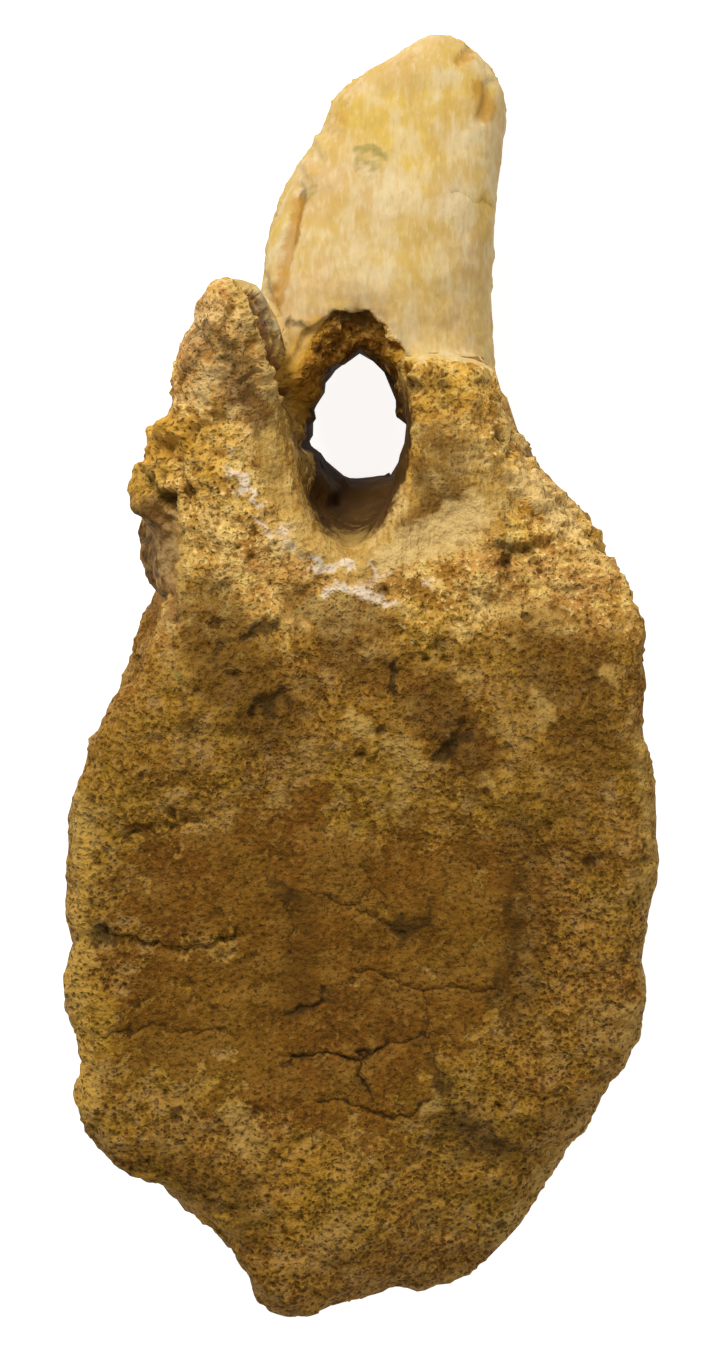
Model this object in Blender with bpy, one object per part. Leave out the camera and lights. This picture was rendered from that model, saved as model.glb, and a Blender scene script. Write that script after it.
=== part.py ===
"""Fossil tail vertebra of a large plant-eating dinosaur, one solid bone.

It lies on the back face of its body, as it would rest on a table. +Z is the bone's front,
+Y the way the spine points, and +X the animal's left. The lengths below are in millimetres
and are turned to metres when points are made.
"""

import math

import bmesh
import bpy
from mathutils import Vector, noise

MM = 0.001

# Body of the vertebra, the centrum
BODY_LENGTH = 92.0
BODY_MIDDLE_Y = -85.0
RIM_ROUND = 6.0
FRONT_DISH = 3.5
BACK_DISH = 4.0
WAIST = 0.86
# The worn top lip of the front face falls back towards the canal from this height up
LIP_FALL = 13.0
LIP_START_Y, LIP_END_Y = -42.0, 2.0
LIP_POWER = 1.4
# The fracture facet at the front face's lower right: the way it faces, how far from the
# face's middle it starts and is in full, and how far it falls back
FACET_WAY = (0.62, -0.78)
FACET_START, FACET_END = 46.0, 66.0
FACET_FALL = 11.0
# The stretch near the front, as shares of the length, over which both take hold
WORN_FROM, WORN_TO = 0.6, 0.95

# Worn rim of the front face: angle in degrees from +X about the face's middle, and radius
FRONT_RIM = (
    (-169, 60.0), (-157, 61.5), (-150, 67.0), (-142, 68.6), (-128, 64.3), (-117, 64.5),
    (-111, 68.0), (-105, 79.0), (-98, 82.5), (-92, 80.0), (-86, 76.5), (-77, 79.0),
    (-65, 75.5), (-57, 70.0), (-49, 65.5), (-39, 63.3), (-28, 62.0), (-18, 61.8),
    (-11, 60.7), (3, 58.9), (9, 61.4), (17, 64.2), (24, 67.0), (33, 72.0), (39, 75.6),
    (44, 80.4), (49, 88.4), (53, 94.6), (60, 95.5), (69, 90.5), (77, 84.5), (84, 81.0),
    (95, 82.0), (103, 86.5), (112, 86.0), (119, 80.5), (127, 73.2), (134, 70.6),
    (142, 69.0), (154, 65.0), (173, 59.0),
)
# Rim of the back face, plainer, with the two facets for the chevron bone at the bottom
BACK_RIM = (
    (-165, 60.0), (-140, 64.0), (-122, 70.0), (-108, 74.0), (-97, 71.0), (-90, 67.0),
    (-83, 71.0), (-72, 74.0), (-58, 70.0), (-40, 63.0), (-15, 60.0), (15, 62.0),
    (38, 71.0), (52, 82.0), (66, 87.0), (90, 84.0), (114, 83.0), (130, 74.5),
    (146, 67.0), (172, 60.0),
)
# Outline of the body halfway along, before the waist draws it in
MIDDLE_RIM = (
    (-165, 62.0), (-142, 68.0), (-126, 83.0), (-116, 88.0), (-105, 84.0), (-90, 79.0),
    (-74, 80.0), (-58, 74.0), (-40, 66.0), (-15, 62.0), (15, 65.0), (38, 74.0),
    (55, 87.0), (72, 88.0), (90, 84.0), (108, 81.0), (124, 72.5), (142, 67.0), (172, 62.0),
)

# Neural arch and spine, in slices up the bone: y, left x, right x, back z, front z
ARCH_AND_SPINE = (
    (-36, -37, 49, 26, 80), (-18, -39, 53, 22, 84), (-8, -40, 50, 21, 83),
    (0, -39, 45.5, 20, 81), (9, -37, 38.5, 20, 78), (17, -34, 33.5, 19, 75),
    (25, -29, 30.5, 18, 68), (33, -23, 29, 16, 60), (41, -19.5, 28.2, 12, 58),
    (50, -19.5, 28.5, 9, 56), (60, -18, 29.8, 6, 51), (70, -13.5, 31.2, 4, 46),
    (80, -7, 32, 2.5, 40), (88, -4, 31.8, 2, 36), (94, 3.8, 29, 2.5, 33),
    (98, 11, 25, 4, 30), (101, 15, 20, 8, 26),
)
ARCH_SQUARENESS = 2.7

# Spinal canal, in slices from back to front: z, middle x, half width, floor y, roof y
CANAL = (
    (-30, 0.8, 18, -1, 38), (12, 0.8, 13.2, 1.6, 35), (22, 0.8, 11.9, 3.2, 34),
    (40, 0.6, 12.0, 0.8, 35.5), (49, 0.6, 12.0, -0.8, 37), (58, 0.8, 14.5, -2.2, 47),
    (67, -1.4, 12.3, -3.2, 56), (78, -0.8, 14.0, -4.2, 66), (92, 2.0, 25.0, -5.0, 80),
    (112, 3.0, 42.0, -5.0, 104),
)
CANAL_TEARDROP = 0.40

# Right-hand front process, broken short, and the left-hand one that stands nearly whole:
# slices of y, left x, right x, back z, front z
RIGHT_STUMP = (
    (-14, 8, 40, 50, 84), (2, 9, 36, 48, 82), (12, 9.5, 33, 46, 80), (22, 8.3, 31, 46, 79),
    (29, 7, 29.5, 47, 77), (33, 7.5, 28.5, 48, 74), (34.5, 11.5, 25, 54, 70),
)
LEFT_PROCESS = (
    (-14, -40, -10, 48, 83), (0, -40, -9, 46, 82), (10, -39.5, -11, 46, 80),
    (20, -38, -11, 47, 79), (26, -36.2, -11, 50, 79), (32, -35.8, -13, 52, 80),
    (38, -34.2, -15, 54, 81), (44, -31.8, -17.2, 57, 81), (48.5, -29.3, -19, 61, 80),
    (50.5, -27, -21.5, 66, 77),
)
PROCESS_SQUARENESS = 2.8

# Rounded lumps: broken side processes and the worn facets at the back of the arch.
# Each is its middle, its half sizes along X, Y and Z, and its turn about Z in degrees.
LUMPS = (
    ((-37.5, 8.0, 67.0), (8.5, 7.0, 9.0), 35),
    ((-36.0, 14.0, 60.0), (6.5, 7.0, 10.0), 0),
    ((-34.5, -5.0, 46.0), (11.0, 15.0, 20.0), -4),
    ((37.0, -9.5, 59.0), (18.0, 15.0, 20.0), -45),
    ((37.5, -1.5, 62.0), (22.0, 8.5, 15.0), -52),
    ((-9.5, 33.0, 18.0), (7.5, 15.0, 10.5), 16),
    ((16.5, 33.0, 18.0), (7.5, 15.0, 10.5), -16),
)

# Scoops cut out of the fused bone, in the same form as the lumps: the smooth fan on either
# side of the canal's mouth, the hollow under the left side process, and the notch between
# the back facets
SCOOPS = (
    ((18.0, 1.0, 101.0), (15.0, 20.0, 23.5), -34),
    ((-14.5, 3.0, 100.0), (10.0, 20.0, 21.0), 26),
    ((-50.0, -9.0, 78.0), (8.5, 12.0, 20.0), -10),
    ((3.5, 35.0, 1.0), (6.0, 9.0, 9.0), 0),
)

# Wear: rounding, growth that makes up for it, then size and depth of lumps and hollows
SMOOTH_PASSES = 6
FULLNESS = 0.6
COARSE_WEAR, COARSE_DEPTH = 26.0, 1.3
MIDDLE_WEAR, MIDDLE_DEPTH = 9.0, 0.8
FINE_WEAR, FINE_DEPTH = 4.2, 0.35
MIDDLE_START, FINE_START = (7.3, 1.9, 4.1), (3.1, 8.2, 5.7)
# The spine keeps its smooth outer bone from this height up, so it is less rough
SPINE_FROM, SPINE_TO = 42.0, 54.0
SPINE_ROUGHNESS = 0.4

# The small flats that the bone rests on: how deep they are cut, and how level they are
FLAT_DEPTH = 0.9
FLAT_SNAP = 0.01

# How fine the shapes are: points in a ring, size of the melted seams, and triangles
RING_POINTS = 72
VOXEL = 1.7
TRIANGLES = 10800


def between(value, low, high):
    """0 below low, 1 above high, and a soft step between."""
    share = min(1.0, max(0.0, (value - low) / (high - low)))
    return share * share * (3.0 - 2.0 * share)


def radius_at(rim, degrees):
    """The radius of a rim at this angle, on a soft curve through its points."""
    count = len(rim)
    for i in range(count):
        start, end = rim[i][0], rim[(i + 1) % count][0]
        span = (end - start) % 360
        ahead = (degrees - start) % 360
        if ahead <= span:
            break
    before, near = rim[i - 1][1], rim[i][1]
    far, after = rim[(i + 1) % count][1], rim[(i + 2) % count][1]
    t = ahead / span
    return 0.5 * (
        2 * near
        + (far - before) * t
        + (2 * before - 5 * near + 4 * far - after) * t**2
        + (3 * near - before - 3 * far + after) * t**3
    )


def loft(name, rings):
    """A closed body that runs through rings with the same number of points, in mm."""
    bm = bmesh.new()
    bmesh.ops.create_circle(bm, cap_ends=True, segments=len(rings[0]), radius=1.0)
    bm.faces.ensure_lookup_table()
    cap = bm.faces[0]
    for i, ring in enumerate(rings):
        if i:
            left_behind = cap
            grown = bmesh.ops.extrude_face_region(bm, geom=[cap])["geom"]
            cap = next(item for item in grown if isinstance(item, bmesh.types.BMFace))
            if i > 1:
                bmesh.ops.delete(bm, geom=[left_behind], context="FACES_ONLY")
        for vert, point in zip(cap.verts, ring):
            vert.co = Vector(point) * MM
    bmesh.ops.recalc_face_normals(bm, faces=bm.faces)
    bmesh.ops.triangulate(bm, faces=bm.faces)
    mesh = bpy.data.meshes.new(name)
    bm.to_mesh(mesh)
    bm.free()
    return bpy.data.objects.new(name, mesh)


def turn(i):
    """The angle of ring point i, in radians."""
    return 2.0 * math.pi * i / RING_POINTS


def rim_ring(shape, z, scale=1.0, inset=0.0):
    """One slice across the body: shape gives the radius at an angle in degrees."""
    ring = []
    for i in range(RING_POINTS):
        radius = (shape(math.degrees(turn(i))) - inset) * scale
        x = radius * math.cos(turn(i))
        y = BODY_MIDDLE_Y + radius * math.sin(turn(i))
        ring.append((x, y, z))
    return ring


def body_shape(share):
    """The outline this share of the way from the back face to the front one."""
    to_middle = 1.0 - abs(2.0 * share - 1.0)
    pull = math.sin(0.5 * math.pi * to_middle)
    end = FRONT_RIM if share > 0.5 else BACK_RIM

    def shape(degrees):
        ends = radius_at(end, degrees)
        middle = radius_at(MIDDLE_RIM, degrees) * WAIST
        return ends + (middle - ends) * pull

    return shape


def front_shape(degrees):
    return radius_at(FRONT_RIM, degrees)


def back_shape(degrees):
    return radius_at(BACK_RIM, degrees)


def dropped_front(point):
    """A point near the front face, drawn back where the lip and the lower corner are worn."""
    x, y, z = point
    front = between(z, BODY_LENGTH * WORN_FROM, BODY_LENGTH * WORN_TO)
    lip = LIP_FALL * between(y, LIP_START_Y, LIP_END_Y) ** LIP_POWER
    out = x * FACET_WAY[0] + (y - BODY_MIDDLE_Y) * FACET_WAY[1]
    facet = FACET_FALL * between(out, FACET_START, FACET_END)
    return (x, y, z - front * (lip + facet))


def body():
    """The spool-shaped body, with a shallow dish in each end."""
    rings = [
        rim_ring(back_shape, BACK_DISH, scale=0.22),
        rim_ring(back_shape, BACK_DISH * 0.8, scale=0.5),
        rim_ring(back_shape, BACK_DISH * 0.3, scale=0.74),
        rim_ring(back_shape, 0.0, inset=RIM_ROUND * 1.1),
        rim_ring(back_shape, RIM_ROUND * 0.25, inset=RIM_ROUND * 0.3),
        rim_ring(back_shape, RIM_ROUND, inset=0.0),
    ]
    for share in (0.16, 0.26, 0.36, 0.5, 0.62, 0.73, 0.82):
        rings.append(rim_ring(body_shape(share), BODY_LENGTH * share))
    top = BODY_LENGTH
    rings += [
        rim_ring(front_shape, top - RIM_ROUND),
        rim_ring(front_shape, top - RIM_ROUND * 0.35, inset=RIM_ROUND * 0.22),
        rim_ring(front_shape, top, inset=RIM_ROUND * 1.0),
        rim_ring(front_shape, top - FRONT_DISH * 0.25, scale=0.78),
        rim_ring(front_shape, top - FRONT_DISH * 0.8, scale=0.5),
        rim_ring(front_shape, top - FRONT_DISH, scale=0.22),
    ]
    return loft("body", [[dropped_front(p) for p in ring] for ring in rings])


def slice_ring(y, left, right, back, front, squareness):
    """One slice across the arch or a process: a rounded rectangle at height y."""
    ring = []
    for i in range(RING_POINTS):
        c, s = math.cos(turn(i)), math.sin(turn(i))
        reach = (abs(c) ** squareness + abs(s) ** squareness) ** (-1.0 / squareness)
        x = (left + right) / 2 + (right - left) / 2 * reach * c
        z = (back + front) / 2 + (front - back) / 2 * reach * s
        ring.append((x, y, z))
    return ring


def sliced(name, slices, squareness):
    return loft(name, [slice_ring(*row, squareness) for row in slices])


def canal():
    """The spinal canal, a teardrop tunnel that flares into a funnel at the front."""
    rings = []
    for z, middle, half, floor, roof in CANAL:
        ring = []
        for i in range(RING_POINTS):
            c, s = math.cos(turn(i)), math.sin(turn(i))
            narrow = 1.0 - CANAL_TEARDROP * max(0.0, s)
            x = middle + half * c * narrow
            ring.append((x, (floor + roof) / 2 + (roof - floor) / 2 * s, z))
        rings.append(ring)
    return loft("canal", rings)


def lump(name, middle, half_sizes, degrees):
    bm = bmesh.new()
    bmesh.ops.create_icosphere(bm, subdivisions=3, radius=1.0)
    bmesh.ops.scale(bm, vec=Vector(half_sizes) * MM, verts=bm.verts)
    c, s = math.cos(math.radians(degrees)), math.sin(math.radians(degrees))
    for vert in bm.verts:
        x, y, z = vert.co
        vert.co = Vector((x * c - y * s, x * s + y * c, z)) + Vector(middle) * MM
    mesh = bpy.data.meshes.new(name)
    bm.to_mesh(mesh)
    bm.free()
    return bpy.data.objects.new(name, mesh)


def keep_result(obj):
    """Makes the shape that the object's modifiers give its own mesh."""
    bpy.context.view_layer.update()
    graph = bpy.context.evaluated_depsgraph_get()
    mesh = bpy.data.meshes.new_from_object(obj.evaluated_get(graph))
    obj.modifiers.clear()
    obj.data = mesh


def group(name, members):
    """A collection of closed shapes that a Boolean takes together."""
    shapes = bpy.data.collections.new(name)
    bpy.context.scene.collection.children.link(shapes)
    for member in members:
        shapes.objects.link(member)
    return shapes


def joined(base, pieces, cutters):
    """The base fused with the pieces, then cut by the cutters, with the seams melted."""
    bpy.context.scene.collection.objects.link(base)
    steps = (("UNION", group("fused", pieces)), ("DIFFERENCE", group("cut", cutters)))
    for operation, shapes in steps:
        step = base.modifiers.new(operation.lower(), "BOOLEAN")
        step.operation = operation
        step.operand_type = "COLLECTION"
        step.collection = shapes
        step.solver = "EXACT"
    melt = base.modifiers.new("melt", "REMESH")
    melt.mode = "VOXEL"
    melt.voxel_size = VOXEL * MM
    keep_result(base)
    for piece in [*pieces, *cutters]:
        bpy.data.objects.remove(piece)
    for _, shapes in steps:
        bpy.data.collections.remove(shapes)


def keep_largest(mesh):
    """Keeps the closed surface with the most faces and drops the specks and bubbles."""
    bm = bmesh.new()
    bm.from_mesh(mesh)
    waiting = set(bm.faces)
    islands = []
    while waiting:
        island = set()
        edge_of_it = [waiting.pop()]
        while edge_of_it:
            face = edge_of_it.pop()
            island.add(face)
            for edge in face.edges:
                for other in edge.link_faces:
                    if other in waiting:
                        waiting.discard(other)
                        edge_of_it.append(other)
        islands.append(island)
    largest = max(islands, key=len)
    for island in islands:
        if island is not largest:
            bmesh.ops.delete(bm, geom=list(island), context="FACES")
    bm.to_mesh(mesh)
    bm.free()


def wear_at(point):
    """How far the surface stands out at a point, in mm, from lumps of three sizes."""
    on_spine = between(point.y / MM, SPINE_FROM, SPINE_TO)
    rough = 1.0 + (SPINE_ROUGHNESS - 1.0) * on_spine
    coarse = noise.noise(point / (COARSE_WEAR * MM))
    middle = noise.noise(point / (MIDDLE_WEAR * MM) + Vector(MIDDLE_START))
    fine = noise.noise(point / (FINE_WEAR * MM) + Vector(FINE_START))
    worn = COARSE_DEPTH * coarse + rough * (MIDDLE_DEPTH * middle + FINE_DEPTH * fine)
    return FULLNESS + worn


def wear_down(mesh):
    """Rounds the melted seams, then wears the surface."""
    bm = bmesh.new()
    bm.from_mesh(mesh)
    for _ in range(SMOOTH_PASSES):
        bmesh.ops.smooth_vert(
            bm, verts=bm.verts, factor=0.5, use_axis_x=True, use_axis_y=True, use_axis_z=True
        )
    bm.normal_update()
    for vert, normal in [(v, v.normal.copy()) for v in bm.verts]:
        vert.co += normal * wear_at(vert.co) * MM
    bm.to_mesh(mesh)
    bm.free()


def thin_out(obj):
    """Lowers the number of triangles and leaves most of them where the bone curves."""
    fewer = obj.modifiers.new("fewer", "DECIMATE")
    fewer.ratio = TRIANGLES / (2.0 * len(obj.data.polygons))
    fewer.use_collapse_triangulate = True
    keep_result(obj)


def flatten_rest(mesh):
    """Cuts the lowest points of the back face to small flats at one level."""
    bm = bmesh.new()
    bm.from_mesh(mesh)
    level = min(vert.co.z for vert in bm.verts) + FLAT_DEPTH * MM
    bmesh.ops.bisect_plane(
        bm,
        geom=[*bm.verts, *bm.edges, *bm.faces],
        dist=FLAT_SNAP * MM,
        plane_co=(0.0, 0.0, level),
        plane_no=(0.0, 0.0, -1.0),
        clear_outer=True,
    )
    for vert in bm.verts:
        if vert.co.z < level + 2.0 * FLAT_SNAP * MM:
            vert.co.z = level
    rims = [edge for edge in bm.edges if edge.is_boundary]
    bmesh.ops.holes_fill(bm, edges=rims, sides=0)
    bmesh.ops.triangulate(bm, faces=bm.faces)
    bmesh.ops.recalc_face_normals(bm, faces=bm.faces)
    bm.to_mesh(mesh)
    bm.free()


def set_on_origin(mesh):
    """Moves the bone so that the middle of its box's underside is the origin."""
    places = [vert.co for vert in mesh.vertices]
    low = Vector([min(p[axis] for p in places) for axis in range(3)])
    high = Vector([max(p[axis] for p in places) for axis in range(3)])
    shift = Vector((-(low.x + high.x) / 2, -(low.y + high.y) / 2, -low.z))
    for vert in mesh.vertices:
        vert.co += shift


def fossil_bone():
    material = bpy.data.materials.new("fossil_bone")
    material.use_nodes = True
    shader = material.node_tree.nodes["Principled BSDF"]
    shader.inputs["Base Color"].default_value = (0.35, 0.19, 0.06, 1.0)
    shader.inputs["Roughness"].default_value = 0.85
    shader.inputs["Metallic"].default_value = 0.0
    return material


def vertebra():
    bone = body()
    bone.name = "vertebra"
    pieces = [
        sliced("arch", ARCH_AND_SPINE, ARCH_SQUARENESS),
        sliced("right_stump", RIGHT_STUMP, PROCESS_SQUARENESS),
        sliced("left_process", LEFT_PROCESS, PROCESS_SQUARENESS),
    ]
    pieces += [lump(f"lump_{i}", *row) for i, row in enumerate(LUMPS)]
    cutters = [canal()] + [lump(f"scoop_{i}", *row) for i, row in enumerate(SCOOPS)]
    joined(bone, pieces, cutters)
    keep_largest(bone.data)
    wear_down(bone.data)
    thin_out(bone)
    flatten_rest(bone.data)
    set_on_origin(bone.data)
    bone.data.materials.append(fossil_bone())
    bone.data.shade_smooth()
    return bone


for old in list(bpy.data.objects):
    bpy.data.objects.remove(old)
vertebra()
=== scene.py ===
"""The looks of a fossil tail vertebra: worn spongy bone, cracked plates of compact bone and a
pale, streaky spine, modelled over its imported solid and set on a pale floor."""

import math

import bmesh
import bpy
import numpy as np
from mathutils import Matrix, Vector


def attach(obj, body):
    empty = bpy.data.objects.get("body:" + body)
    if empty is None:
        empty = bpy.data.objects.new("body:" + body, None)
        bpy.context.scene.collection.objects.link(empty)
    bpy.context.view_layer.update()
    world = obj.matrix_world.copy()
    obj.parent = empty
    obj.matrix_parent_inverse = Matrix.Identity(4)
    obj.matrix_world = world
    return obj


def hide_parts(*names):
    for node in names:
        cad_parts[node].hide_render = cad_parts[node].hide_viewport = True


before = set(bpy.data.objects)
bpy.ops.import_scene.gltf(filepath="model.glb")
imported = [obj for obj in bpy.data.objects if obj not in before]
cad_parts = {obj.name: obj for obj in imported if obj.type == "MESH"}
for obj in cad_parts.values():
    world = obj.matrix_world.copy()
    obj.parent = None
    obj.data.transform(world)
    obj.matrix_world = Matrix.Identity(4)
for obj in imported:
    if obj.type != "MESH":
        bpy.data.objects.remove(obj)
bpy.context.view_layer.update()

MM = 0.001

# The photograph's frame in pixels, the millimetres of bone that a pixel shows, and the eye that
# it was taken from. The eye looks down on the bone from its front, leaning a little towards the
# spine. Lengths are in millimetres.
PHOTO_WIDE, PHOTO_TALL = 709, 1351
PIXEL = 0.20
EYE_DISTANCE = 600.0
EYE_TILT = math.radians(10.0)
LOOK_AT = np.array((-1.3, 5.2, 92.3))
FOCAL = EYE_DISTANCE / PIXEL
SENSOR = 36.0
EYE_UP = np.array((0.0, math.cos(EYE_TILT), -math.sin(EYE_TILT)))
EYE_BACK = np.array((0.0, math.sin(EYE_TILT), math.cos(EYE_TILT)))

# What the photograph shows of the surface: the cells, in pixels, that its nearest part is found
# in, how far behind that, in mm, the rest is hidden, and how much a part has to face the eye
CELL = 4
HIDDEN = (3.0, 8.0)
FACING = (-0.05, 0.15)

# How fine the surface is modelled: its cells in mm, the rounds of smoothing that take the
# solid's facets away, the triangles that are left, and how far their thinning spares the front
VOXEL = 0.45
SMOOTHING = 12
TRIANGLES = 194000
FRONT_SPARED = 0.75
THINNING_STEPS = 8

# Where things begin and are complete, along the bone or above the floor, in mm: the spine's
# smooth skin, the upper part, painted lighter partly in its own paler colour and partly as
# painted light where the light falls from the top, and how far its edge strays, and the relief,
# which leaves the underside flat where the bone rests
SPINE = (68.0, 78.0)
UPPER = (-14.0, 42.0)
UPPER_STRAY = 8.0
RESTING = (0.3, 3.0)

# The flanks' smooth skin: the heights in mm where it begins and ends, how steep the surface is
# there, and where the broad pattern wears it away
FLANK_FROM, FLANK_TO = (12.0, 22.0), (68.0, 80.0)
FLANK_STEEP = (0.35, 0.7)
FLANK_WORN = (0.52, 0.66)

# The canal: its middle and half sizes in mm, the soft rim round it, as a share of them, and the
# heights in mm where the painted shade on its walls ends and where their lumps end
CANAL_MIDDLE = (-0.8, 50.0)
CANAL_HALF = (16.0, 21.0)
CANAL_RIM = (0.95, 1.05)
CANAL_SHADE_END = (36.0, 62.0)
CANAL_LUMPS_END = (62.0, 70.0)

# The plates of compact bone on the face: how much lumps and grains break them up, and what
# amount of plate still shows
PLATE_LUMPS, PLATE_GRAINS = 1.8, 1.2
PLATE_SHOWN = (0.30, 0.85)

# How open the pores are: the least anywhere, the photograph's rows down to which they open, and
# how open they are on the broken stump
LEAST_POROUS = 0.3
POROUS_ROWS = (780.0, 930.0)
STUMP_POROUS = 0.8

# Heights and depths of the relief, in mm
HEIGHTS = {
    "grains": 2.0, "pores": 1.0, "hollows": 1.3, "vessel openings": 1.6,
    "grains of the plates": 0.6, "grains of the fan": 0.9, "lumps": 3.2,
    "lumps higher up": 1.8, "lumps at the side": 4.0, "fibres": 0.25, "sheets": 4.0,
}

# How coarse spongy bone's relief is on the face, higher up and on the process, how much of the
# pits' depth there is at least, and how much of the lumps' height on a solid kind of surface
FACE_COARSE, UPPER_COARSE, PROCESS_COARSE = 0.7, 1.2, 0.45
LEAST_PITTED = 0.3
SOLID_LUMPY = 0.2

# Where a pit's side begins and ends, as a share of its size, for pores, hollows and the openings
# for vessels, and where the broad pattern has hollows
PORE_SIDE, HOLLOW_SIDE, VESSEL_SIDE = (0.15, 0.55), (0.20, 0.55), (0.10, 0.35)
HOLLOWS_WHERE = (0.45, 0.60)

# Cracks: how far from its middle line one is still followed, how deep it is, and where its side
# begins and ends, in mm
CRACK_REACH = 2.0
CRACK_DEPTH = 0.7
CRACK_SIDE = (0.1, 0.7)

# How far drawn lines stray from their places, in the photograph's pixels: cracks, and relief and
# stains, with the painted shade and highlights among them, on rough bone and on the smooth spine
CRACK_STRAY = 26.0
RELIEF_STRAY = (22.0, 4.0)
STAIN_AND_LIGHT_STRAY = (50.0, 14.0)

# Patterns that the shape and the broad changes of colour are worked from: the kind of texture,
# the size of its grains across X, Y and Z in mm, and how many finer layers it has. The fibres
# are drawn wider than real ones, which are about 0.3 mm, so that they show.
SHAPE_PATTERNS = {
    "broad": ("noise", (22.0, 22.0, 22.0), 2),
    "lumps": ("noise", (5.6, 5.6, 5.6), 2),
    "grains": ("noise", (2.1, 2.1, 2.1), 2),
    "pores": ("pits", (1.9, 1.9, 1.9), 0),
    "big_pores": ("pits", (4.2, 4.2, 4.2), 0),
    "fibres": ("noise", (1.5, 9.0, 9.0), 2),
    "sheets": ("noise", (12.0, 2.0, 4.0), 2),
    "wobble_x": ("noise", (3.5, 3.5, 3.5), 3),
    "wobble_y": ("noise", (3.6, 3.6, 3.6), 3),
    "hue": ("noise", (18.0, 18.0, 18.0), 3),
    "shade": ("noise", (10.0, 10.0, 10.0), 3),
    "mottle": ("noise", (4.0, 4.0, 4.0), 2),
    "wide_streak": ("noise", (3.4, 9.0, 9.0), 3),
}
KEPT_PATTERNS = ("hue", "shade", "mottle", "wide_streak")

# Patterns that the small marks and the finest bumps are drawn from, in the same form. The pores
# are life-size. The specks, the finest pores and the streaks, which are 0.2 to 0.3 mm in real
# bone, are drawn as coarse as they need to be to show.
FINISH_PATTERNS = {
    "speck": ("noise", (1.1, 1.1, 1.1), 2),
    "ragged": ("noise", (2.0, 2.0, 2.0), 2),
    "pore": ("pits", (0.8, 0.8, 0.8), 0),
    "fine_pore": ("noise", (0.75, 0.75, 0.75), 1),
    "streak": ("noise", (0.8, 3.0, 3.0), 2),
    "crease": ("noise", (6.0, 6.0, 6.0), 2),
}

# How far the pits are pushed about and the grain size of what pushes them, in mm, and how much
# fainter the faintest pit is
PUSH, PUSH_SIZE = 0.7, 0.9
FAINTER = 0.9

# Kinds of surface over the spongy bone, from the lowest: the upper part, painted lighter partly
# in its own paler colour and partly as painted light where the light falls from the top, the
# front process, the plates of the face, the smooth fan round the canal, the skin of the flanks
# and that of the spine, the broken roof of the canal, and its walls and the floor below its
# opening, painted dark as painted shade. Then those without open pores.
KINDS = ("upper_paler_and_lit", "process", "compact", "fan", "flank", "cortex", "roof", "canal_shade")
SOLID_KINDS = ("compact", "cortex", "fan", "flank", "canal_shade")

# Outlines of the kinds of surface on the front: how far each one's edge strays, in the
# photograph's pixels, how soft the edge is to either side, in mm, and its corners, in pixels
OUTLINES = {
    "compact": (60.0, 11.0, (
        (122, 905), (116, 862), (150, 836), (206, 824), (236, 800), (262, 812), (300, 786),
        (330, 798), (362, 830), (400, 806), (432, 842), (470, 836), (505, 858), (530, 884),
        (514, 918), (520, 950), (500, 978), (496, 1012), (474, 1030), (482, 1052), (446, 1072),
        (440, 1100), (402, 1118), (396, 1148), (345, 1130), (320, 1146), (276, 1118), (236, 1112),
        (206, 1080), (160, 1068), (136, 1080), (104, 1050), (118, 1010), (128, 976), (150, 954),
        (208, 946), (150, 940), (106, 922),
    )),
    "cortex": (16.0, 1.0, (
        (259, 298), (250, 262), (262, 200), (290, 136), (330, 70), (395, 16), (480, 16),
        (528, 100), (518, 240), (510, 330), (503, 372), (470, 366), (440, 362), (420, 372),
        (404, 350), (388, 326), (370, 312), (335, 312), (318, 328), (306, 348), (300, 374),
        (286, 356), (272, 326),
    )),
    "fan": (50.0, 6.0, (
        (412, 470), (420, 430), (452, 422), (486, 440), (520, 486), (500, 524), (452, 552),
        (385, 566), (330, 556), (296, 530), (262, 490), (246, 440), (256, 400), (286, 396),
        (304, 440), (312, 490), (326, 530), (344, 545), (368, 536), (390, 505),
    )),
    "recess": (20.0, 2.0, (
        (138, 500), (176, 504), (181, 540), (176, 598), (160, 606), (148, 584), (138, 548),
    )),
    "roof": (16.0, 1.0, (
        (302, 408), (301, 368), (308, 340), (334, 311), (370, 311), (402, 350), (416, 374),
        (400, 384), (384, 352), (366, 350), (344, 362), (330, 386), (318, 410), (306, 444),
    )),
    # The canal's floor below its opening, which is painted dark as painted shade
    "canal_floor_shade": (12.0, 2.6, (
        (314, 420), (303, 446), (307, 496), (322, 532), (344, 547), (370, 540), (392, 512),
        (406, 474), (413, 440), (410, 398), (395, 372), (330, 386),
    )),
    "process": (60.0, 3.0, (
        (176, 410), (180, 340), (206, 288), (240, 280), (264, 306), (284, 346), (298, 372),
        (304, 400), (296, 424), (270, 410), (240, 424), (208, 400),
    )),
    "rough": (40.0, 3.0, (
        (130, 448), (150, 420), (178, 408), (206, 420), (232, 452), (226, 486), (196, 520),
        (168, 560), (150, 600), (128, 560), (132, 500),
    )),
    "stump": (40.0, 3.0, (
        (386, 352), (420, 366), (486, 372), (502, 410), (520, 450), (480, 440), (440, 424),
        (412, 450), (404, 400),
    )),
    "shoulder": (40.0, 6.0, (
        (424, 404), (492, 418), (560, 470), (606, 540), (622, 600), (560, 612), (490, 570),
        (500, 500), (452, 440),
    )),
}

# Edges of steps: how deep and how far the surface falls away on the right of the line's way,
# in mm, and the line, in the photograph's pixels. STEP_WIDTH is how far the fall itself takes.
STEP_WIDTH = 0.6
STEPS = (
    (3.6, 7.0, ((280, 404), (268, 368), (257, 338), (247, 308), (240, 290))),
    (1.6, 6.0, ((284, 378), (300, 332), (334, 311), (370, 311), (402, 350), (416, 374))),
    (1.0, 3.0, ((104, 928), (140, 939), (182, 948), (208, 944), (232, 932))),
    (2.0, 5.0, ((176, 504), (180, 540), (176, 596))),
    (1.0, 2.5, ((204, 820), (176, 828), (149, 833), (122, 842))),
    (0.8, 2.5, ((178, 400), (170, 388), (186, 372))),
)

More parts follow.
